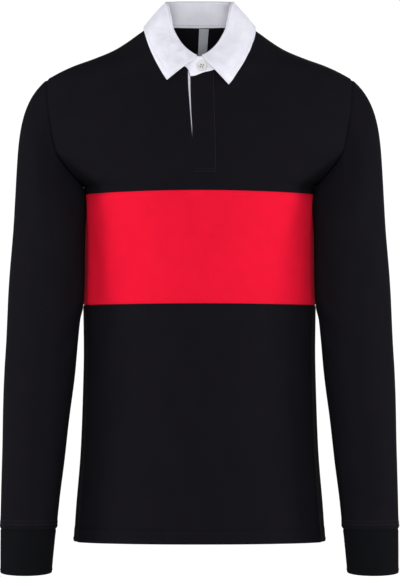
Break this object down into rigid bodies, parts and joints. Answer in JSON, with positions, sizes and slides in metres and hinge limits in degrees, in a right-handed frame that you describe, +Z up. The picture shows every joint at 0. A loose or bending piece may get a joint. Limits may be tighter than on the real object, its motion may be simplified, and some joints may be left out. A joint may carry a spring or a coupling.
{
  "type": "rugby shirt",
  "caption": "Long-sleeved black jersey shirt in its worn shape, with a red band round the chest, a white turned-down collar, a half placket and black cuffs",
  "frame": {"origin": "Midway between the neck ends of the two shoulder seams, where the shirt rests on the wearer, at the mount shoulders", "axes": "+Z up along the body; -Y the front, with the placket and the button; +X the side of the wearer's left hand"},
  "size_m": [0.5508, 0.244, 0.7967],
  "materials": {
    "jersey_black": "matte knitted cotton",
    "jersey_red": "matte knitted cotton",
    "twill_white": "matte woven cotton twill",
    "tape_grey": "matte woven tape",
    "button_resin": "polished"
  },
  "bodies": {
    "root": {"front_chest": "jersey_black", "back_chest": "jersey_black", "front_band": "jersey_red", "back_band": "jersey_red", "front_lower": "jersey_black", "back_lower": "jersey_black", "sleeve_left": "jersey_black", "cuff_left": "jersey_black", "sleeve_right": "jersey_black", "cuff_right": "jersey_black", "collar_stand": "twill_white", "collar_leaf": "twill_white", "placket_over": "jersey_black", "placket_under": "twill_white", "neck_label": "tape_grey", "button_neck": "button_resin"}
  },
  "joints": []
}
